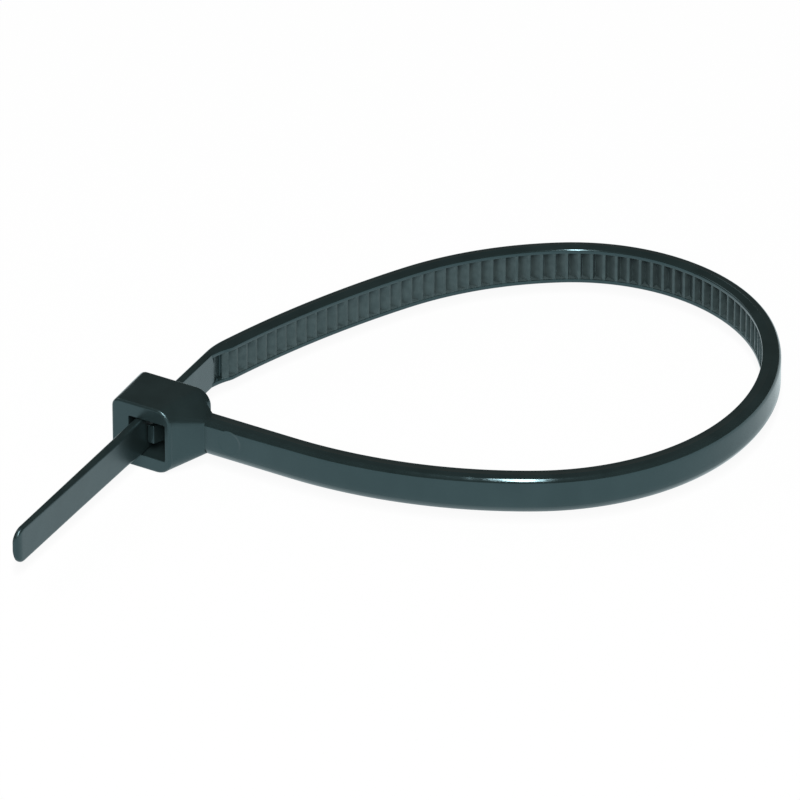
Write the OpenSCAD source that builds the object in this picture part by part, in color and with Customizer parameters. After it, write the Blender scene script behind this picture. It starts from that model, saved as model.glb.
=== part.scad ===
// Self-locking cable tie, moulded in one piece and closed into a loop.
// The strap leaves the head, turns round the loop, and its tail passes back
// through the slot in the head, past the pawl.
// The tie stands on edge: X leaves the head along the strap, Y runs along the
// slot into the loop, Z is across the strap. The origin is on the underside of
// the head, below the middle of the slot.

/* [Strap] */
// Width of the strap
strap_w = 2.75; // [2:0.1:5]
// Thickness of the toothed strap, outer face to rails
strap_t = 1.33; // [1.1:0.01:1.8]
// Radius of the outer edges of the strap
outer_round = 0.34; // [0.1:0.01:0.45]
// Radius of the inner edges of the strap
inner_round = 0.12; // [0.05:0.01:0.22]

/* [Loop, radii and turns of the outer face in order from the head] */
// Radius of the near side
near_r = 33.4; // [20:0.1:45]
// Turn of the near side
near_turn = 31; // [20:0.1:40]
// Radius of the nose of the loop
nose_r = 17.6; // [13:0.1:22]
// Turn of the nose
nose_turn = 97.4; // [70:0.1:120]
// Radius of the crown of the loop
crown_r = 14.4; // [11:0.1:18]
// Turn of the crown
crown_turn = 84.6; // [60:0.1:105]
// Radius of the far side
far_r = 23.8; // [18:0.1:30]
// Turn of the far side
far_turn = 29.2; // [20:0.1:38]
// Radius of the slack run back towards the head
slack_r = 73.5; // [50:0.5:90]
// Turn of the slack run
slack_turn = 12.6; // [9:0.1:16]
// Radius of the bend just before the slot, where the strap is thin
throat_r = 6; // [4:0.1:9]
// Turn of the bend before the slot
throat_turn = 17.2; // [12:0.1:22]

/* [Teeth] */
// Distance from tooth to tooth along the strap
pitch = 0.925; // [0.6:0.005:1.4]
// Depth of the valleys below the rails
tooth_depth = 0.52; // [0.3:0.01:0.62]
// Depth of the ridges below the rails
ridge_drop = 0.03; // [0.02:0.01:0.12]
// Length of the flat on top of a tooth
ridge_flat = 0.2; // [0.05:0.01:0.3]
// Length that the steep face of a tooth takes
steep_run = 0.1; // [0.03:0.01:0.2]
// Width of the smooth rail on each side of the teeth
rail_w = 0.34; // [0.2:0.01:0.4]
// Length of the short ramp behind the last ridge
last_ramp = 0.24; // [0.05:0.01:0.4]
// Drop of that ramp
last_drop = 0.37; // [0.1:0.01:0.45]
// Smooth strap between the head and the first tooth
plain_root = 9.5; // [4:0.1:20]
// Thin strap between the last ridge and the slot
plain_throat = 7.08; // [5:0.02:14]
// Length over which the rails run down to the thin strap
rail_run_out = 1.8; // [1.2:0.1:3]
// How far before the end of the last ridge the rails start to run down
rail_lead = 0.5; // [0.2:0.05:0.6]

/* [Tail] */
// Length of the tail beyond the head
tail_l = 16.8; // [8:0.1:40]
// Thickness of the strap from the end of the teeth to the head
tail_t = 0.75; // [0.55:0.01:0.95]
// Thickness at the tip
tip_t = 0.46; // [0.3:0.01:0.6]
// Radius of the corners of the tip
tip_round = 0.85; // [0.3:0.01:1.2]
// Lean of the tail in the slot, from the slot's own direction
tail_lean = 2; // [0:0.1:3]

/* [Head] */
// Height of the head, across the strap
head_h = 5.1; // [4.5:0.1:9]
// Depth of the head along the slot
head_d = 4.2; // [3.5:0.1:7]
// Slot wall on the free side, at the exit
free_wall = 1.4; // [0.8:0.01:2]
// Outward slope of the free side towards the loop
free_slope = 3.4; // [0:0.1:8]
// Slot wall on the strap side, at the exit
strap_wall = 0.45; // [0.35:0.01:1]
// Outward slope of the strap side towards the loop
strap_slope = 12.1; // [4:0.1:15]
// Corner radius of the head on the free side
free_round = 0.7; // [0.3:0.01:1.2]
// Corner radius of the head on the strap side
strap_round = 1.2; // [0.5:0.01:1.4]
// Bevel round the two slot faces of the head
face_bevel = 0.14; // [0.05:0.01:0.25]
// Distance from the entrance face to the strap's inner face
strap_set = 0.82; // [0.5:0.01:1.2]
// Length of the shoulder that runs from the exit corner of the head down to the strap
shoulder_l = 1.1; // [0.4:0.05:1.8]
// Blend between the head and the strap's inner face
inner_blend = 0.45; // [0.2:0.01:0.6]

/* [Slot and pawl] */
// Width of the slot, across the thickness of the strap
slot_w = 2.88; // [2.6:0.01:4]
// Gap above and below the strap in the slot
slot_side_gap = 0.07; // [0.04:0.01:0.2]
// Depth of the lead-in chamfer at the entrance
lead_in = 0.3; // [0.1:0.01:0.5]
// Gap between the slot's free wall and the tail at the entrance
tail_gap = 0.18; // [0.1:0.01:0.3]
// Gap between the pawl and the smooth tail
pawl_gap = 0.08; // [0.05:0.01:0.2]
// Gap between the pawl's edges and the rails on each side of it
pawl_side_gap = 0.33; // [0.1:0.01:0.5]
// Distance from the exit face to the free end of the pawl
pawl_set = 0.65; // [0.4:0.01:1]
// Distance from the entrance face to the root of the pawl
pawl_root_set = 0.6; // [0.4:0.01:0.9]
// Thickness of the pawl where it leaves the wall
hinge_t = 0.7; // [0.4:0.01:0.9]
// Gap behind the free end of the pawl
pawl_back_gap = 0.6; // [0.4:0.01:0.8]
// Number of teeth on the pawl
pawl_teeth = 3; // [2:1:3]
// Depth of the pawl's teeth
pawl_tooth_depth = 0.26; // [0.1:0.01:0.3]
// How far each pawl tooth stands back from the one nearer the free end
pawl_step = 0.14; // [0.05:0.01:0.2]

/* [Hidden] */

NYLON = [0.05, 0.06, 0.065];
// Facets of a full turn of a corner of the head
FN_CORNER = 32;
// Turn from one section of the strap to the next in a bend
BEND_STEP = 3;
// Segments of a rounded outer edge, of a blend and of a corner of the tip
EDGE_STEPS = 4;
INNER_STEPS = 2;
// Most of the thickness that the rounds of the outer and of the inner edges take
OUTER_SHARE = 0.5;
INNER_SHARE = 0.4;
BLEND_STEPS = 6;
TIP_STEPS = 6;
// Thickness of the discs that the head is stretched over
DISC = 0.02;
// How far cutting shapes pass the surfaces they cut
PAST = 0.5;
// How far inside a surface a shape starts that grows out of it
INSIDE = 0.01;
// Facets of a full turn of the strap's outer edges
FN_EDGE = 4 * EDGE_STEPS;
// Share of the run-out at which the floor between the rails comes out level with them
RAIL_END = 0.96;
THIN_STEPS = 4;

// The strap stands centred in the height of the head
strap_z = (head_h - strap_w) / 2;
entrance_y = head_d / 2;
exit_y = -head_d / 2;
inner_y = entrance_y - strap_set;
outer_y = inner_y - strap_t;
// The strap starts inside the wall between the slot and the strap side
root_x = slot_w / 2 + strap_wall / 2;
slot_h = strap_w + 2 * slot_side_gap;

// Sides of the head seen along Z, as functions of the place along the slot
function strap_side_x(y) = slot_w / 2 + strap_wall + (y - exit_y) * tan(strap_slope);
function free_side_x(y) = -slot_w / 2 - free_wall - (y - exit_y) * tan(free_slope);

// Route of the strap's outer face
end_heading = 270 + tail_lean;
tail_x = -slot_w / 2 + tail_gap + head_d * tan(tail_lean);
BEND_R = [near_r, nose_r, crown_r, far_r, slack_r, throat_r];
ASKED = [near_turn, nose_turn, crown_turn, far_turn, slack_turn, throat_turn];
BENDS = len(BEND_R);
function sum_to(list, i) = i == 0 ? 0 : sum_to(list, i - 1) + list[i - 1];
// The turns are shared out so that the loop always closes on the slot
TURN = [for (a = ASKED) a * end_heading / sum_to(ASKED, BENDS)];
function heading(i) = sum_to(TURN, i);
function bend_step(i) = BEND_R[i] * [
    sin(heading(i + 1)) - sin(heading(i)),
    cos(heading(i)) - cos(heading(i + 1))
];
function bends_to(i) = i == 0 ? [0, 0] : bends_to(i - 1) + bend_step(i - 1);
// The two straights take up what the bends leave, so the tail meets the slot
slot_run = (outer_y + bends_to(BENDS).y - exit_y) / -sin(end_heading);
root_run = tail_x - root_x - bends_to(BENDS).x - slot_run * cos(end_heading);
bend_start = [root_x + root_run, outer_y];
straight_start = bend_start + bends_to(BENDS);

// Lengths along the middle of the strap, which keeps its length as it bends
mid_t = strap_t / 2;
BEND_L = [for (i = [0 : BENDS - 1]) (BEND_R[i] - mid_t) * TURN[i] * PI / 180];
q_bends = root_run;
q_throat = q_bends + sum_to(BEND_L, BENDS - 1);
q_straight = q_bends + sum_to(BEND_L, BENDS);
q_entrance = q_straight + slot_run - head_d / cos(tail_lean);
q_exit = q_straight + slot_run;
q_tip = q_exit + tail_l;

// Place on the strap at length q along it and depth n below the outer face
function unit(h) = [cos(h), sin(h)];
function off_line(p, h, along, n) = p + along * unit(h) + n * unit(h + 90);
function off_bend(i, along, n) =
    let (h = heading(i), turned = along / BEND_L[i] * TURN[i])
    let (centre = bend_start + bends_to(i) + BEND_R[i] * unit(h + 90))
    centre + (BEND_R[i] - n) * unit(h + turned - 90);
function on_bends(q, n, i) =
    i == BENDS - 1 || q <= BEND_L[i] ? off_bend(i, q, n) : on_bends(q - BEND_L[i], n, i + 1);
function on_strap(q, n) =
    q <= q_bends ? off_line([root_x, outer_y], 0, q, n)
    : q >= q_straight ? off_line(straight_start, end_heading, q - q_straight, n)
    : on_bends(q - q_bends, n, 0);

// Teeth, counted back from the last ridge
ridges_end = q_entrance - plain_throat;
rack_end = ridges_end - ridge_flat - steep_run;
rack_length = rack_end - plain_root - (strap_side_x(0) - root_x);
teeth = floor(rack_length / pitch);
valley_n = strap_t - tooth_depth;
ridge_n = strap_t - ridge_drop;
clear_n = strap_t + PAST;
// Each tooth rises steeply from the head's side and ramps down towards the tip
function tooth(q) = [
    on_strap(q, valley_n),
    on_strap(q + steep_run, ridge_n),
    on_strap(q + steep_run + ridge_flat, ridge_n)
];
rack_start = rack_end - teeth * pitch;
// Beyond the last ridge a short ramp ends in a wall, and the strap between the rails is
// thin at once, while the rails run down to it
run_out = ridges_end - rail_lead;
run_out_end = run_out + rail_run_out;
wall = ridges_end + last_ramp;
rails_level = run_out + RAIL_END * rail_run_out;
RACK = concat(
    [on_strap(rack_start - pitch / 2, clear_n)],
    [for (k = [0 : teeth]) each tooth(rack_start + k * pitch)],
    [on_strap(wall, ridge_n - last_drop)],
    [for (k = [0 : THIN_STEPS]) on_strap(wall + (rails_level - wall) * k / THIN_STEPS, tail_t)],
    [on_strap(rails_level, clear_n)]
);

// Thickness over the rails: full at the teeth, thin to the exit, thinnest at the tip
function share(q, a, b) = (q - a) / (b - a);
function thickness(q) =
    q <= run_out ? strap_t
    : q < run_out_end ? strap_t + (tail_t - strap_t) * share(q, run_out, run_out_end)
    : q < q_exit ? tail_t
    : tail_t + (tip_t - tail_t) * share(q, q_exit, q_tip);
// What each rounded corner of the tip takes off the width of the strap
function tip_cut(q) =
    let (left = tip_round - (q_tip - q))
    left <= 0 ? 0 : tip_round - sqrt(max(0, tip_round * tip_round - left * left));

// Cross-section at length q as [depth below the outer face, height], edges rounded
function corner(centre, r, from, steps) = [
    for (k = [0 : steps]) centre + r * unit(from + 90 * k / steps)
];
function section(q) =
    let (t = thickness(q), low = tip_cut(q), high = strap_w - low)
    let (r = min(outer_round, t * OUTER_SHARE), i = min(inner_round, t * INNER_SHARE))
    concat(
        corner([r, low + r], r, 180, EDGE_STEPS),
        corner([t - i, low + i], i, 270, INNER_STEPS),
        corner([t - i, high - i], i, 0, INNER_STEPS),
        corner([r, high - r], r, 90, EDGE_STEPS)
    );
function ring(q) = [
    for (p = section(q)) let (at = on_strap(q, p.x)) [at.x, at.y, strap_z + p.y]
];

// Lengths at which the strap has a section, from its root to its tip
function bend_stops(i) =
    let (steps = ceil(TURN[i] / BEND_STEP), from = q_bends + sum_to(BEND_L, i))
    [for (k = [0 : steps - 1]) from + BEND_L[i] * k / steps];
function sorted(list) =
    len(list) < 2 ? list
    : let (p = list[0])
    concat(
        sorted([for (v = list) if (v < p) v]),
        [p],
        sorted([for (v = list) if (v > p) v])
    );
BEND_STOPS = [for (i = [0 : BENDS - 1]) each bend_stops(i)];
TIP_STOPS = [for (k = [0 : TIP_STEPS]) q_tip - tip_round * (1 - cos(90 * k / TIP_STEPS))];
STOPS = sorted(concat(
    [0],
    BEND_STOPS,
    [run_out, run_out_end, q_straight, q_entrance, q_exit],
    TIP_STOPS
));
RINGS = [for (q = STOPS) each ring(q)];
SIDES = len(section(0));
FACES = concat(
    [[for (j = [0 : SIDES - 1]) j]],
    [for (i = [0 : len(STOPS) - 2]) for (j = [0 : SIDES - 1])
        let (a = i * SIDES, b = a + SIDES, next = (j + 1) % SIDES)
        [a + next, a + j, b + j, b + next]],
    [[for (j = [SIDES - 1 : -1 : 0]) (len(STOPS) - 1) * SIDES + j]]
);

// What is cut away between the two rails: the valleys, and the step down to the thin strap
module between_rails() {
    translate([0, 0, strap_z + rail_w])
        linear_extrude(strap_w - 2 * rail_w)
        polygon(RACK);
}

// The whole strap: root, bends, the run into the slot, and the tail
module strap() {
    difference() {
        polyhedron(RINGS, FACES);
        between_rails();
    }
}

// Discs at the four corners of the head's outline, at one place along the slot
module head_outline(y, inset) {
    for (top = [0, 1]) {
        z_free = top * head_h + (1 - 2 * top) * free_round;
        z_strap = top * head_h + (1 - 2 * top) * strap_round;
        translate([free_side_x(y) + free_round, y, z_free])
            rotate([-90, 0, 0])
            cylinder(r = free_round - inset, h = DISC, $fn = FN_CORNER);
        translate([strap_side_x(y) - strap_round, y, z_strap])
            rotate([-90, 0, 0])
            cylinder(r = strap_round - inset, h = DISC, $fn = FN_CORNER);
    }
}

// The head without its slot: a tapered block with rounded corners and bevelled faces
module head_block() {
    hull() {
        head_outline(exit_y, face_bevel);
        head_outline(exit_y + face_bevel, 0);
        head_outline(entrance_y - face_bevel, 0);
        head_outline(entrance_y - DISC, face_bevel);
    }
}

// The slot, with a lead-in chamfer on its free wall at the entrance
module slot_cut() {
    translate([0, 0, (head_h - slot_h) / 2])
        linear_extrude(slot_h)
        polygon([
            [-slot_w / 2, exit_y - PAST],
            [slot_w / 2, exit_y - PAST],
            [slot_w / 2, entrance_y + PAST],
            [-slot_w / 2 - lead_in, entrance_y + PAST],
            [-slot_w / 2 - lead_in, entrance_y],
            [-slot_w / 2, entrance_y - lead_in]
        ]);
}

// The pawl: a tongue that leaves the slot's wall near the entrance and leans
// towards the tail, with teeth that face it
pawl_w = strap_w - 2 * rail_w - 2 * pawl_side_gap;
pawl_end_y = exit_y + pawl_set;
pawl_root_y = entrance_y - pawl_root_set;
function tail_face_x(y) = tail_x - (y - exit_y) * tan(tail_lean)
    + thickness(q_exit - (y - exit_y)) / cos(tail_lean);
pawl_tip_x = tail_face_x(pawl_end_y) + pawl_gap;
pawl_pitch = (pawl_root_y - hinge_t - pawl_end_y) / pawl_teeth;
function pawl_crest(k) = [pawl_tip_x + k * pawl_step, pawl_end_y + k * pawl_pitch];
PAWL = concat(
    [for (k = [0 : pawl_teeth - 1]) each [
        pawl_crest(k),
        pawl_crest(k + 1) + [pawl_tooth_depth, 0]
    ]],
    [[slot_w / 2 - hinge_t / 2, pawl_root_y]],
    [[root_x, pawl_root_y], [root_x, pawl_root_y - hinge_t]],
    [[slot_w / 2 - hinge_t / 4, pawl_root_y - hinge_t]],
    [[slot_w / 2 - pawl_back_gap, pawl_end_y]]
);

module pawl() {
    translate([0, 0, (head_h - pawl_w) / 2])
        linear_extrude(pawl_w)
        polygon(PAWL);
}

// The shoulder: the side of the head runs out to the strap's outer face, and narrows
// from the height of the head to the width of the strap
module shoulder() {
    hull() {
        for (top = [0, 1]) {
            for (y = [exit_y + face_bevel, outer_y + outer_round]) {
                translate([
                    strap_side_x(y) - strap_round,
                    y,
                    top * head_h + (1 - 2 * top) * strap_round
                ])
                    rotate([-90, 0, 0])
                    cylinder(r = strap_round - INSIDE, h = DISC, $fn = FN_CORNER);
            }
            translate([
                strap_side_x(outer_y) + shoulder_l,
                outer_y + outer_round,
                strap_z + top * strap_w + (1 - 2 * top) * outer_round
            ])
                rotate([0, 90, 0])
                cylinder(r = outer_round - INSIDE, h = DISC, $fn = FN_EDGE);
        }
    }
}

// Fillet between the side of the head and the strap's inner face, seen along Z
module root_fillet() {
    back_y = inner_y - strap_t / 2;
    cx = strap_side_x(inner_y) + inner_blend * (1 + sin(strap_slope)) / cos(strap_slope);
    cy = inner_y + inner_blend;
    turn = 90 + strap_slope;
    translate([0, 0, strap_z])
        linear_extrude(strap_w)
        polygon(concat(
            [[root_x, back_y], [cx, back_y]],
            [for (k = [0 : BLEND_STEPS]) [cx, cy] + inner_blend * unit(270 - turn * k / BLEND_STEPS)],
            [[root_x, cy]]
        ));
}

module head() {
    difference() {
        union() {
            head_block();
            shoulder();
        }
        slot_cut();
    }
    pawl();
    root_fillet();
}

module cable_tie() {
    color(NYLON) {
        head();
        strap();
    }
}

cable_tie();
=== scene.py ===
"""A black nylon cable tie, pulled into a loop and standing on its edge on a white table."""

from math import ceil, cos, floor, pi, radians, sin, sqrt, tan

import bmesh
import bpy
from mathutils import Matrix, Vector


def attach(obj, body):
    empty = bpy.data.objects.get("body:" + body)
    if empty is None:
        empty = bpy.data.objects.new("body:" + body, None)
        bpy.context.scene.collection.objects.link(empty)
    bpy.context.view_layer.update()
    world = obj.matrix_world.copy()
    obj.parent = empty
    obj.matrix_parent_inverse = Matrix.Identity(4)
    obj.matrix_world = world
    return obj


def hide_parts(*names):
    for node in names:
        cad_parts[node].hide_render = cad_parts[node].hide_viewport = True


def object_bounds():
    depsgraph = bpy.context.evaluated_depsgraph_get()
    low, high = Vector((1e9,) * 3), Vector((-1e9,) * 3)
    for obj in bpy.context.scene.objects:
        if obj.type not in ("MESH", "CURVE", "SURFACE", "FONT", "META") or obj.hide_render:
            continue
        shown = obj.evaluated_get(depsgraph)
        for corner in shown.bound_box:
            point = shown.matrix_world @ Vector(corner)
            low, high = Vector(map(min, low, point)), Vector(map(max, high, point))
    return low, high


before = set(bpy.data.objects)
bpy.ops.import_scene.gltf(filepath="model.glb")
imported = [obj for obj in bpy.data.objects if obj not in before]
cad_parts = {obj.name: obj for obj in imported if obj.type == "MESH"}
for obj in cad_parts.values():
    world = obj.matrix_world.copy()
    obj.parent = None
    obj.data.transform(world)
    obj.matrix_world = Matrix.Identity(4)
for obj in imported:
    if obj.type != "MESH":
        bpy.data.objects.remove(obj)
solid_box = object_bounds()

# THE ROUTE OF THE STRAP
# The moulder makes the strap straight, and the user bends it round the bundle. It
# leaves the side of the head along X, turns left all the way round the loop in six
# bends that run into each other, and comes back straight through the slot.
MM = 0.001
strap_w = 2.75
strap_t = 1.33
head_h = 5.1
head_d = 4.2
slot_w = 2.88
strap_wall = 0.45
strap_set = 0.82
tail_l = 16.8
tail_gap = 0.18
tail_lean = 2.0
# Radius of the outer face in millimetres and turn in degrees, in order from the head
near_side = (33.4, 31.0)
nose = (17.6, 97.4)
crown = (14.4, 84.6)
far_side = (23.8, 29.2)
slack_run = (73.5, 12.6)
throat = (6.0, 17.2)

entrance_y = head_d / 2
exit_y = -head_d / 2
inner_y = entrance_y - strap_set
outer_y = inner_y - strap_t
root_x = slot_w / 2 + strap_wall / 2
strap_mid_z = head_h / 2
end_heading = 270 + tail_lean
tail_x = -slot_w / 2 + tail_gap + head_d * tan(radians(tail_lean))


def towards(heading):
    """The direction of a heading in degrees, seen from above."""
    return Vector((cos(radians(heading)), sin(radians(heading))))


class Run:
    """One straight or one bend of the strap, measured on its outer face."""

    def __init__(self, start, heading, length, radius=0.0, turn=0.0):
        self.start = start
        self.heading = heading
        self.length = length
        self.radius = radius
        self.turn = turn

    def at(self, along, depth):
        """The place that lies so far along the run and so deep inside its outer face."""
        left = towards(self.heading + 90)
        if not self.radius:
            return self.start + towards(self.heading) * along + left * depth
        turned = self.turn * along / self.length
        centre = self.start + left * self.radius
        return centre + towards(self.heading + turned - 90) * (self.radius - depth)

    def end(self):
        return self.at(self.length, 0)


bends = [near_side, nose, crown, far_side, slack_run, throat]
# The turns are shared out so that the strap comes back on the line of the slot
share = end_heading / sum(turn for radius, turn in bends)
bend_runs = []
place, heading = Vector((0, 0)), 0.0
for radius, asked_turn in bends:
    turn = asked_turn * share
    bend_runs.append(Run(place, heading, (radius - strap_t / 2) * radians(turn), radius, turn))
    place, heading = bend_runs[-1].end(), heading + turn
slot_run = (outer_y + place.y - exit_y) / -sin(radians(end_heading))
root_run = tail_x - root_x - place.x - slot_run * cos(radians(end_heading))
first_bend = Vector((root_x + root_run, outer_y))
for run in bend_runs:
    run.start = run.start + first_bend
runs = [Run(Vector((root_x, outer_y)), 0.0, root_run)] + bend_runs
runs.append(Run(runs[-1].end(), end_heading, slot_run + tail_l))

strap_end = sum(run.length for run in runs)
at_exit = strap_end - tail_l
at_entrance = at_exit - head_d / cos(radians(tail_lean))


def on_strap(q, depth):
    """The place at length q along the strap, seen from above."""
    for run in runs[:-1]:
        if q <= run.length:
            return run.at(q, depth)
        q -= run.length
    return runs[-1].at(q, depth)


# THE STRAP
# A band of black nylon with rounded outer edges. Its inner face has a rack of saw
# teeth between two smooth rails. The rails run out before the slot, and the tail
# is thin and plain so that it threads through the head.
outer_round = 0.34
outer_fall = 1.45
lower_bevel_h = 0.54
inner_round = 0.12
rail_w = 0.34
rail_edge = 0.05
wall_draft = 0.03
pitch = 0.925
tooth_depth = 0.52
ridge_drop = 0.03
ridge_flat = 0.2
steep_run = 0.1
plain_root = 9.5
# From the middle of the head's wall, where the strap starts, to the side of the head
in_wall = 0.675
plain_throat = 7.08
rail_run_out = 1.8
rail_lead = 0.5
last_ramp = 0.24
last_ramp_drop = 0.37
tail_t = 0.75
tip_t = 0.46
tip_round = 0.85
tip_edge = 0.6
tip_edge_depth = 0.65
tail_inner_round = 0.27
soften_l = 2
parting_line_at = 0.36
parting_line_h = 0.018
parting_line_w = 0.03
bevel_bulge = 0.035
# No edge takes more than this share of the thickness
largest_edge = 0.45
edge_steps = 10

last_ridge_end = at_entrance - plain_throat
rack_end = last_ridge_end - ridge_flat - steep_run
teeth = floor((rack_end - plain_root - in_wall) / pitch)
rack_start = rack_end - teeth * pitch
run_out = last_ridge_end - rail_lead
run_out_end = run_out + rail_run_out
valley_depth = strap_t - tooth_depth
ridge_depth = strap_t - ridge_drop


def thickness(q):
    """Full at the rails, thin from the end of the rack to the slot, thinnest at the tip."""
    if q < run_out:
        return strap_t
    if q < run_out_end:
        return strap_t + (tail_t - strap_t) * (q - run_out) / rail_run_out
    if q < at_exit:
        return tail_t
    t = tail_t + (tip_t - tail_t) * (q - at_exit) / tail_l
    rounded = max(0.0, 1 - (strap_end - q) / tip_edge)
    return t * (1 - tip_edge_depth * (1 - sqrt(1 - min(1.0, rounded) ** 2)))


# Corners of one tooth as lengths from its valley, and the depth at each
tooth_profile = [
    (0, valley_depth),
    (steep_run, ridge_depth),
    (steep_run + ridge_flat, ridge_depth),
]
rack_profile = [(rack_start - steep_run, ridge_depth + ridge_drop)]
for k in range(teeth + 1):
    rack_profile += [(rack_start + k * pitch + along, depth) for along, depth in tooth_profile]
wall_q = last_ridge_end + last_ramp
rack_profile += [
    (wall_q, ridge_depth - last_ramp_drop),
    (wall_q + 0.03, tail_t),
    (run_out_end, tail_t),
]
# Each corner of the profile is a small round, drawn with three sections
corner_reach = 0.024


def profile_depth(q):
    """Depth of the surface between the rails, with the corners of the teeth rounded."""
    low, high = 0, len(rack_profile) - 1
    while high - low > 1:
        middle = (low + high) // 2
        if rack_profile[middle][0] <= q:
            low = middle
        else:
            high = middle
    (q0, n0), (q1, n1) = rack_profile[low], rack_profile[high]
    return n0 + (n1 - n0) * (q - q0) / (q1 - q0)


def floor_depth(q):
    if q <= rack_profile[0][0] or q >= rack_profile[-1][0]:
        return thickness(q)
    nearby = [profile_depth(q + corner_reach * side / 2) for side in (-1, 0, 1)]
    return min(thickness(q), (nearby[0] + 2 * nearby[1] + nearby[2]) / 4)


def tip_cut(q):
    """What each rounded corner of the tip takes off the width of the strap."""
    left = tip_round - (strap_end - q)
    return 0 if left <= 0 else tip_round - sqrt(max(0.0, tip_round ** 2 - left ** 2))


def quarter(centre, radius, start, steps):
    """Points of a quarter round as (depth, height), turning clockwise from start."""
    return [
        (centre[0] + radius * cos(radians(start - 90 * k / steps)),
         centre[1] + radius * sin(radians(start - 90 * k / steps)))
        for k in range(steps + 1)
    ]


# A small fillet joins the inner face of the strap to the side of the head
inner_blend = 0.45
strap_slope = 12.1
side_lean = radians(strap_slope)


def strap_side_x(y):
    """Strap side of the head, seen from above."""
    return slot_w / 2 + strap_wall + (y - exit_y) * tan(side_lean)


def flare(x):
    """How far the fillet at the root stands out from the inner face of the strap."""
    centre_x = strap_side_x(inner_y) + inner_blend * (1 + sin(side_lean)) / cos(side_lean)
    reach = min(max(centre_x - x, 0.0), inner_blend * cos(side_lean))
    return inner_blend - sqrt(inner_blend ** 2 - reach ** 2)


def section(q):
    """One cross-section as (depth, height above the middle), going round once."""
    t = thickness(q)
    half = strap_w / 2 - tip_cut(q)
    back = t + (flare(root_x + q) if q < root_run else 0.0)
    r_out = min(outer_round, t * largest_edge)
    # The inner edges get rounder along the start of the tail
    softer = min(max((q - at_exit) / soften_l, 0.0), 1.0)
    r_in = min(inner_round + (tail_inner_round - inner_round) * softer, t * largest_edge)
    fall = r_out * outer_fall
    bevel_h = min(lower_bevel_h, half * 0.6)
    bulge = bevel_bulge * bevel_h / lower_bevel_h
    # The lower outer edge is more of a bevel than a round
    top_edge, bottom_edge = [], []
    for k in range(edge_steps + 1):
        a = pi / 2 * k / edge_steps
        top_edge.append((r_out * (1 - cos(a)), half - fall * (1 - sin(a))))
        along = (1 - cos(2 * a)) / 2
        bottom_edge.append((r_out * along - bulge * sin(pi * along), bevel_h * (1 - along) - half))
    bead = parting_line_h if q < run_out else 0.0
    seam = r_out + (back - r_in - r_out) * parting_line_at
    valley = min(floor_depth(q), t) + (back - t)
    drop = min(rail_edge, back - valley)
    side = [(seam - parting_line_w, half), (seam, half + bead), (seam + parting_line_w, half)]
    side += quarter((back - r_in, half - r_in), r_in, 90, 5)
    side += [
        (back, half - rail_w + rail_edge),
        (back - drop * 0.3, half - rail_w + rail_edge * 0.3),
        (back - drop, half - rail_w),
        (valley, half - rail_w - wall_draft),
        (valley, (half - rail_w - wall_draft) * 0.5),
    ]
    face_point = (half - fall) * 0.5
    upper = [(0, 0), (0, face_point)] + top_edge + side + [(valley, 0)]
    lower = [(depth, -height) for depth, height in side[::-1]] + bottom_edge[::-1]
    return upper + lower + [(0, -face_point)]


def strap_stops():
    """Lengths at which the strap has a section, from its root to its tip."""
    stops = [k * root_run / 60 for k in range(24)]
    stops += [root_run * (0.4 + 0.6 * k / 12) for k in range(12)]
    q = root_run
    for run in bend_runs:
        steps = ceil(run.turn / 1.0)
        stops += [q + run.length * k / steps for k in range(steps)]
        q += run.length
    stops = [s for s in stops if not rack_start - pitch < s < run_out_end]
    for corner, depth in rack_profile:
        stops += [corner - corner_reach, corner, corner + corner_reach]
    stops += [rack_start + (k + 0.66) * pitch for k in range(teeth)]
    stops += [rack_start - pitch, rack_start - pitch / 2]
    stops += [wall_q + (run_out_end - wall_q) * k / 8 for k in range(1, 8)]
    straight = [at_entrance, (at_entrance + at_exit) / 2, at_exit]
    straight += [at_exit + (tail_l - tip_round) * k / 24 for k in range(1, 24)]
    stops += [q] + [s for s in straight if s > q]
    stops += [strap_end - tip_round * (1 - cos(pi / 2 * k / 12)) for k in range(13)]
    ordered = sorted(stops)
    return [s for i, s in enumerate(ordered) if i == 0 or s - ordered[i - 1] > 0.004]


def loft(name, rings):
    """A closed mesh through rings that all have the same number of points."""
    sides = len(rings[0])
    points = [[c * MM for c in point] for ring in rings for point in ring]
    faces = [list(range(sides))]
    for i in range(len(rings) - 1):
        a, b = i * sides, (i + 1) * sides
        for j in range(sides):
            k = (j + 1) % sides
            faces.append([a + k, a + j, b + j, b + k])
    faces.append([(len(rings) - 1) * sides + j for j in reversed(range(sides))])
    mesh = bpy.data.meshes.new(name)
    mesh.from_pydata(points, [], faces)
    return closed(name, mesh)


def closed(name, mesh, stretched=False):
    """An object from a mesh, with every face turned outwards. A stretched one is the
    skin drawn tight over the points."""
    work = bmesh.new()
    work.from_mesh(mesh)
    if stretched:
        bmesh.ops.convex_hull(work, input=work.verts)
        left = [v for v in work.verts if not v.link_faces]
        bmesh.ops.delete(work, geom=left, context="VERTS")
    bmesh.ops.recalc_face_normals(work, faces=work.faces)
    work.to_mesh(mesh)
    work.free()
    made = bpy.data.objects.new(name, mesh)
    bpy.context.scene.collection.objects.link(made)
    return made


strap_rings = []
stops = strap_stops()
for q in stops:
    ring = []
    for depth, height in section(q):
        x, y = on_strap(q, depth)
        ring.append((x, y, strap_mid_z + height))
    strap_rings.append(ring)
cable_tie = loft("cable_tie_moulding", strap_rings)
nylon = bpy.data.materials.new("black_nylon")
toothed_nylon_painted_paler = bpy.data.materials.new("black_nylon_of_the_teeth_painted_paler")
cable_tie.data.materials.append(nylon)
cable_tie.data.materials.append(toothed_nylon_painted_paler)
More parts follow.
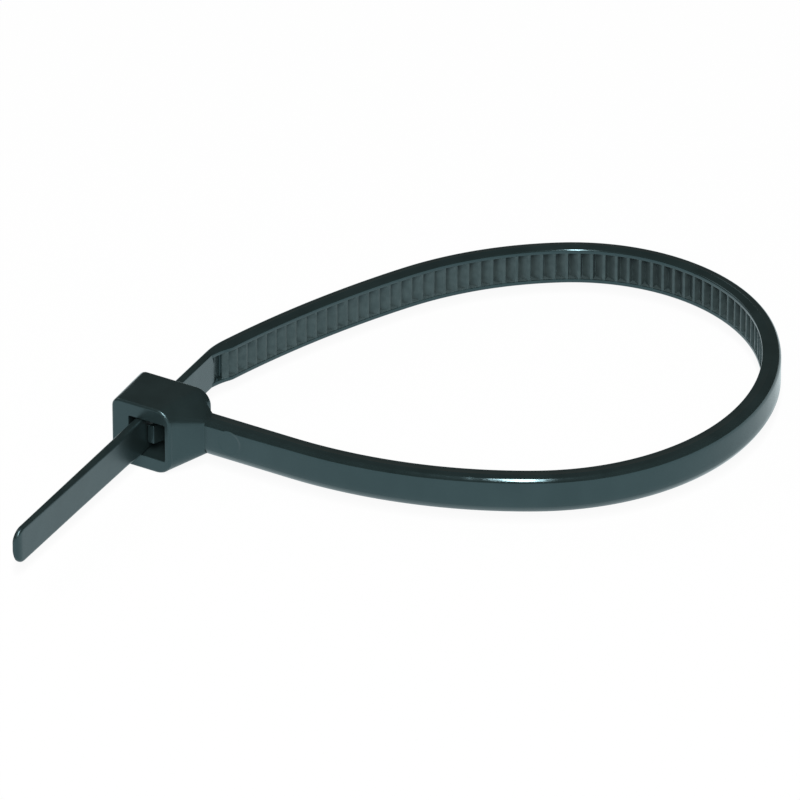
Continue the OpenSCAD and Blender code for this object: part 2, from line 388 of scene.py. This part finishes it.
# The faces of the rack are the floor between the rails and the two small walls beside it. They get the
# nylon whose colour is painted paler, as painted light in the valleys.
ring_points = len(strap_rings[0])
half_ring = ring_points // 2
for face in cable_tie.data.polygons:
    row = min(face.vertices) // ring_points
    columns = [v % ring_points for v in face.vertices]
    if len(columns) == 4 and rack_start <= stops[row] < wall_q:
        if min(columns) >= half_ring - 3 and max(columns) <= half_ring + 3:
            face.material_index = 1

# THE HEAD
# A small tapered block, moulded in one with the strap. Two of its long edges have a
# larger round on the side that the strap leaves from. A slot with a lead-in runs
# through it for the tail.
free_wall = 1.4
free_slope = 3.4
free_round = 0.7
strap_round = 1.2
face_round = 0.2
slot_side_gap = 0.07
lead_in = 0.3
slot_rim = 0.05
slot_corner = 0.08


def free_side_x(y):
    """Free side of the head, seen from above."""
    return -slot_w / 2 - free_wall - (y - exit_y) * tan(radians(free_slope))


def rounded_outline(y, x_low, x_high, z_low, z_high, r_low, r_high, steps):
    """A rectangle across the slot with one radius on each side, going round once."""
    ring = []
    corners = [
        (x_high - r_high, z_high - r_high, r_high, 90),
        (x_high - r_high, z_low + r_high, r_high, 0),
        (x_low + r_low, z_low + r_low, r_low, -90),
        (x_low + r_low, z_high - r_low, r_low, -180),
    ]
    for cx, cz, r, start in corners:
        ring += [(x, y, z) for x, z in quarter((cx, cz), r, start, steps)]
    return ring


def head_ring(y, inset):
    return rounded_outline(
        y, free_side_x(y) + inset, strap_side_x(y) - inset, inset, head_h - inset,
        free_round - inset, strap_round - inset, 14)


def slot_ring(y, grow, lead):
    half = strap_w / 2 + slot_side_gap + grow
    return rounded_outline(
        y, -slot_w / 2 - grow - lead, slot_w / 2 + grow, strap_mid_z - half, strap_mid_z + half,
        slot_corner, slot_corner, 3)


turns = [pi / 2 * k / 6 for k in range(7)]
head_rings = [head_ring(exit_y + face_round * (1 - sin(a)), face_round * (1 - cos(a))) for a in turns[::-1]]
head_rings += [head_ring(exit_y + face_round + (head_d - 2 * face_round) * k / 6, 0) for k in range(1, 6)]
head_rings += [head_ring(entrance_y - face_round * (1 - sin(a)), face_round * (1 - cos(a))) for a in turns]
head = loft("head", head_rings)

# The shoulder runs from the exit corner of the head out to the strap's outer face, and
# narrows from the height of the head to the width of the strap
shoulder_l = 1.1
shoulder_back = inner_y - 0.15
shoulder_head_back = inner_y + 0.3
inside = 0.01
shoulder_points = []
for side in (1, -1):
    for k in range(29):
        a = pi / 2 * k / 14
        for y in (exit_y + face_round, shoulder_head_back):
            r = strap_round - inside
            shoulder_points.append((
                strap_side_x(y) - strap_round + r * cos(a - pi / 2), y,
                strap_mid_z + side * (head_h / 2 - strap_round - r * sin(a - pi / 2))))
    for k in range(17):
        a = pi / 2 * k / 8
        r = outer_round - inside
        shoulder_points.append((
            strap_side_x(outer_y) + shoulder_l, outer_y + outer_round - r * sin(a),
            strap_mid_z + side * (strap_w / 2 - inside - r * outer_fall * (1 - cos(a)))))
    shoulder_points.append((
        strap_side_x(outer_y) + shoulder_l, shoulder_back, strap_mid_z + side * (strap_w / 2 - inside)))
shoulder_mesh = bpy.data.meshes.new("shoulder")
shoulder_mesh.from_pydata([[c * MM for c in point] for point in shoulder_points], [], [])
shoulder = closed("shoulder", shoulder_mesh, stretched=True)

past = 0.4
slot_rings = [slot_ring(exit_y - past, slot_rim, 0)]
slot_rings += [slot_ring(exit_y + slot_rim * (1 - cos(a)), slot_rim * (1 - sin(a)), 0) for a in turns[1:]]
slot_rings += [slot_ring(entrance_y - lead_in, 0, 0)]
slot_rings += [slot_ring(entrance_y, slot_rim, lead_in), slot_ring(entrance_y + past, slot_rim, lead_in)]
slot = loft("slot", slot_rings)

# THE PAWL
# A springy tongue inside the slot, moulded in one with the wall on the strap side.
# Three teeth on it face the tail, and it leans towards the tail's free end.
pawl_side_gap = 0.33
pawl_gap = 0.08
pawl_set = 0.65
pawl_root_set = 0.6
hinge_t = 0.7
pawl_end_t = 0.5
pawl_teeth = 3
pawl_tooth_depth = 0.26
pawl_step = 0.14
pawl_edge = 0.03

pawl_w = strap_w - 2 * rail_w - 2 * pawl_side_gap
pawl_end_y = exit_y + pawl_set
pawl_root_y = entrance_y - pawl_root_set
tail_inner_x = tail_x - pawl_set * tan(radians(tail_lean)) + tail_t / cos(radians(tail_lean))
pawl_tip_x = tail_inner_x + pawl_gap
pawl_pitch = (pawl_root_y - hinge_t - pawl_end_y) / pawl_teeth
pawl_outline = []
for k in range(pawl_teeth):
    crest_x, crest_y = pawl_tip_x + k * pawl_step, pawl_end_y + k * pawl_pitch
    pawl_outline += [
        (crest_x, crest_y),
        (crest_x + pawl_step + pawl_tooth_depth, crest_y + pawl_pitch),
    ]
pawl_outline += [
    (slot_w / 2 - hinge_t / 2, pawl_root_y),
    (root_x, pawl_root_y),
    (root_x, pawl_root_y - hinge_t),
    (slot_w / 2 - hinge_t / 4, pawl_root_y - hinge_t),
    (pawl_tip_x + pawl_end_t, pawl_end_y),
]
pawl = loft("pawl", [
    [(x, y, strap_mid_z + side * pawl_w / 2) for x, y in pawl_outline]
    for side in (1, -1)
])
edges = pawl.modifiers.new("edges", "BEVEL")
edges.width = pawl_edge * MM
edges.segments = 3
edges.limit_method = "ANGLE"
edges.angle_limit = radians(25)


def join(target, other, operation):
    """Cuts one body out of the target, or fuses the two into one closed skin."""
    step = target.modifiers.new(operation.lower(), "BOOLEAN")
    step.operation = operation
    step.object = other
    step.solver = "EXACT"
    bpy.context.view_layer.objects.active = target
    graph = bpy.context.evaluated_depsgraph_get()
    result = bpy.data.meshes.new_from_object(target.evaluated_get(graph), depsgraph=graph)
    target.modifiers.clear()
    target.data = result
    bpy.data.objects.remove(other)


join(head, shoulder, "UNION")
join(head, slot, "DIFFERENCE")
join(head, pawl, "UNION")
join(cable_tie, head, "UNION")
cable_tie.data.name = "cable_tie_moulding"
cable_tie.data.polygons.foreach_set("use_smooth", [True] * len(cable_tie.data.polygons))
cable_tie.data.set_sharp_from_angle(angle=radians(32))
flat_faces = cable_tie.modifiers.new("flat_faces", "WEIGHTED_NORMAL")
flat_faces.keep_sharp = True
flat_faces.weight = 60

# THE NYLON
# Black nylon straight from a polished mould: deep black with a faint blue green, as
# smooth as the tool. It has faint flow marks, slight waves from shrinkage and a very
# fine grain, which break up its reflections.
nylon.use_nodes = True
tree = nylon.node_tree
shader = tree.nodes["Principled BSDF"]
shader.inputs["IOR"].default_value = 1.5
shader.inputs["Specular IOR Level"].default_value = 0.75
shader.inputs["Specular Tint"].default_value = (0.6, 0.92, 1.0, 1)
spot = tree.nodes.new("ShaderNodeTexCoord")


def noise(size_mm, detail, stretch=(1, 1, 1)):
    """Noise with features of about this size, in the object's own space."""
    fit = tree.nodes.new("ShaderNodeMapping")
    fit.inputs["Scale"].default_value = [s / (size_mm * MM) for s in stretch]
    tree.links.new(spot.outputs["Object"], fit.inputs["Vector"])
    made = tree.nodes.new("ShaderNodeTexNoise")
    made.inputs["Scale"].default_value = 1.0
    made.inputs["Detail"].default_value = detail
    tree.links.new(fit.outputs["Vector"], made.inputs["Vector"])
    return made


def ramp(source, low, high, low_at=0.35, high_at=0.65):
    made = tree.nodes.new("ShaderNodeValToRGB")
    made.color_ramp.elements[0].position = low_at
    made.color_ramp.elements[0].color = (*low, 1)
    made.color_ramp.elements[1].position = high_at
    made.color_ramp.elements[1].color = (*high, 1)
    tree.links.new(source.outputs["Fac"], made.inputs["Fac"])
    return made


flow_marks = ramp(noise(2.4, 3, (1, 1, 0.5)), (0.009, 0.0155, 0.0158), (0.012, 0.0205, 0.021))
tree.links.new(flow_marks.outputs["Color"], shader.inputs["Base Color"])
polish = ramp(noise(1.1, 4), (0.11,) * 3, (0.16,) * 3)
waves = tree.nodes.new("ShaderNodeBump")
waves.inputs["Strength"].default_value = 1.0
waves.inputs["Distance"].default_value = 0.012 * MM
tree.links.new(noise(1.6, 1).outputs["Fac"], waves.inputs["Height"])
grain = tree.nodes.new("ShaderNodeBump")
grain.inputs["Strength"].default_value = 1.0
grain.inputs["Distance"].default_value = 0.0006 * MM
tree.links.new(noise(0.12, 3).outputs["Fac"], grain.inputs["Height"])
tree.links.new(waves.outputs["Normal"], grain.inputs["Normal"])


def near(place, low, high):
    """0 up to the low distance from a place in millimetres, and 1 beyond the high one."""
    away = tree.nodes.new("ShaderNodeVectorMath")
    away.operation = "DISTANCE"
    away.inputs[1].default_value = [c * MM for c in place]
    tree.links.new(spot.outputs["Object"], away.inputs[0])
    step = tree.nodes.new("ShaderNodeMapRange")
    step.inputs["From Min"].default_value = low * MM
    step.inputs["From Max"].default_value = high * MM
    tree.links.new(away.outputs["Value"], step.inputs["Value"])
    return step


# An ejector pin has left a shallow round mark on the strap beside the head
pin_mark = (5.41, outer_y, 2.75)
pin_mark_depth = 0.03
mark = tree.nodes.new("ShaderNodeBump")
mark.inputs["Strength"].default_value = 1.0
mark.inputs["Distance"].default_value = pin_mark_depth * MM
tree.links.new(near(pin_mark, 0.8, 0.92).outputs["Result"], mark.inputs["Height"])
tree.links.new(grain.outputs["Normal"], mark.inputs["Normal"])
tree.links.new(mark.outputs["Normal"], shader.inputs["Normal"])

# The head and the tail came out of a duller part of the mould than the strap
middle_of_head = (0, 0, strap_mid_z)
middle_of_tail = (-1, -11, strap_mid_z)
duller = 0.32
away_from_head = near(middle_of_head, 3.5, 4.1)
away_from_tail = near(middle_of_tail, 10, 11)
shiny = tree.nodes.new("ShaderNodeMath")
shiny.operation = "MULTIPLY"
tree.links.new(away_from_head.outputs["Result"], shiny.inputs[0])
tree.links.new(away_from_tail.outputs["Result"], shiny.inputs[1])
dull = tree.nodes.new("ShaderNodeMath")
dull.operation = "MULTIPLY_ADD"
dull.inputs[1].default_value = -duller
dull.inputs[2].default_value = duller
tree.links.new(shiny.outputs[0], dull.inputs[0])
rougher = tree.nodes.new("ShaderNodeMath")
rougher.operation = "MAXIMUM"
tree.links.new(dull.outputs[0], rougher.inputs[0])
tree.links.new(polish.outputs["Color"], rougher.inputs[1])
tree.links.new(rougher.outputs[0], shader.inputs["Roughness"])

# The teeth of the mould are spark eroded, so the plastic between the rails comes out
# matt. Its colour is painted paler than the rest of the nylon: painted light that
# lightens the shaded valleys of the rack.
toothed_nylon_painted_paler.use_nodes = True
tree = toothed_nylon_painted_paler.node_tree
shader = tree.nodes["Principled BSDF"]
shader.inputs["IOR"].default_value = 1.5
shader.inputs["Specular IOR Level"].default_value = 0.5
shader.inputs["Specular Tint"].default_value = (0.6, 0.92, 1.0, 1)
spot = tree.nodes.new("ShaderNodeTexCoord")
# Painted light: a paler base colour that lightens the valleys between the teeth
painted_light_of_teeth = ramp(noise(0.5, 4), (0.030, 0.043, 0.044), (0.042, 0.059, 0.060))
tree.links.new(painted_light_of_teeth.outputs["Color"], shader.inputs["Base Color"])
worn = ramp(noise(0.4, 3), (0.38,) * 3, (0.5,) * 3)
tree.links.new(worn.outputs["Color"], shader.inputs["Roughness"])
sparks = tree.nodes.new("ShaderNodeBump")
sparks.inputs["Strength"].default_value = 1.0
sparks.inputs["Distance"].default_value = 0.002 * MM
tree.links.new(noise(0.06, 2).outputs["Fac"], sparks.inputs["Height"])
tree.links.new(sparks.outputs["Normal"], shader.inputs["Normal"])

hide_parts("cable_tie")
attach(cable_tie, "root")

# THE TABLE
# A plain white surface below the tie, large enough to fill every view.
table_half = 1.5
table_mesh = bpy.data.meshes.new("table")
table_mesh.from_pydata(
    [(x * table_half, y * table_half, 0) for x, y in ((-1, -1), (1, -1), (1, 1), (-1, 1))],
    [], [(0, 1, 2, 3)])
table = bpy.data.objects.new("table", table_mesh)
bpy.context.scene.collection.objects.link(table)
paper = bpy.data.materials.new("white_table")
paper.use_nodes = True
tree = paper.node_tree
tree.nodes.clear()
out = tree.nodes.new("ShaderNodeOutputMaterial")
matt = tree.nodes.new("ShaderNodeBsdfDiffuse")
matt.inputs["Color"].default_value = (0.9, 0.9, 0.9, 1)
ray = tree.nodes.new("ShaderNodeLightPath")


def seen_as(shader_below, kind, colour, share):
    """Covers the shader below, for one kind of ray, with an even glow."""
    glow = tree.nodes.new("ShaderNodeEmission")
    glow.inputs["Color"].default_value = (*colour, 1)
    glow.inputs["Strength"].default_value = 1.0
    part = tree.nodes.new("ShaderNodeMath")
    part.operation = "MULTIPLY"
    part.inputs[1].default_value = share
    tree.links.new(ray.outputs[kind], part.inputs[0])
    cover = tree.nodes.new("ShaderNodeMixShader")
    tree.links.new(part.outputs[0], cover.inputs["Fac"])
    tree.links.new(shader_below.outputs[0], cover.inputs[1])
    tree.links.new(glow.outputs[0], cover.inputs[2])
    return cover


mixed = seen_as(matt, "Is Glossy Ray", (0.84, 0.97, 1.0), 0.95)
mixed = seen_as(mixed, "Is Camera Ray", (1, 1, 1), 0.93)
tree.links.new(mixed.outputs[0], out.inputs["Surface"])
table_mesh.materials.append(paper)

# THE LIGHT
# A dim room all round, a tall narrow lamp high behind the camera, which draws the thin
# highlights along the edges, and a weak square lamp on the left.
world = bpy.data.worlds.new("room")
bpy.context.scene.world = world
world.use_nodes = True
tree = world.node_tree
tree.nodes.clear()
out = tree.nodes.new("ShaderNodeOutputWorld")
room = tree.nodes.new("ShaderNodeBackground")
room.inputs["Color"].default_value = (0.08, 0.082, 0.076, 1)
beyond = tree.nodes.new("ShaderNodeBackground")
beyond.inputs["Color"].default_value = (1, 1, 1, 1)
ray = tree.nodes.new("ShaderNodeLightPath")
mixed = tree.nodes.new("ShaderNodeMixShader")
tree.links.new(ray.outputs["Is Camera Ray"], mixed.inputs["Fac"])
tree.links.new(room.outputs[0], mixed.inputs[1])
tree.links.new(beyond.outputs[0], mixed.inputs[2])
tree.links.new(mixed.outputs[0], out.inputs["Surface"])

middle = (solid_box[0] + solid_box[1]) / 2


def lamp(name, azimuth, elevation, distance, width, height, strength):
    """A soft lamp that faces the tie. Its strength is the light that a white sheet facing
    it sends back."""
    a, e = radians(azimuth), radians(elevation)
    direction = Vector((sin(a) * cos(e), -cos(a) * cos(e), sin(e)))
    data = bpy.data.lights.new(name, "AREA")
    data.shape = "RECTANGLE"
    data.size = width
    data.size_y = height
    data.energy = strength * pi * pi * distance ** 2
    made = bpy.data.objects.new(name, data)
    made.location = middle + direction * distance
    made.rotation_mode = "QUATERNION"
    made.rotation_quaternion = direction.to_track_quat("Z", "Y")
    bpy.context.scene.collection.objects.link(made)
    return made


lamp("strip_lamp", 30, 50, 1.0, 0.12, 0.9, 1.4)
lamp("left_lamp", -95, 40, 0.8, 0.35, 0.35, 0.09)

# THE CAMERA
# A long lens at the photograph's angle, a little to the right and above the tie.
photo_px = 800
focal_px = 11026
camera_data = bpy.data.cameras.new("camera")
camera_data.sensor_width = 36
camera_data.lens = 36 * focal_px / photo_px
camera = bpy.data.objects.new("camera", camera_data)
bpy.context.scene.collection.objects.link(camera)
aim = Vector((11.60, 12.88, 1.34)) * MM
view_line = Vector((0.4286, -0.7423, 0.5205)).normalized()
camera.location = aim + view_line * 0.770
camera.rotation_mode = "QUATERNION"
camera.rotation_quaternion = view_line.to_track_quat("Z", "Y")
camera_data.clip_start = 0.05
camera_data.clip_end = 10
bpy.context.scene.camera = camera
bpy.context.scene.view_settings.view_transform = "Standard"
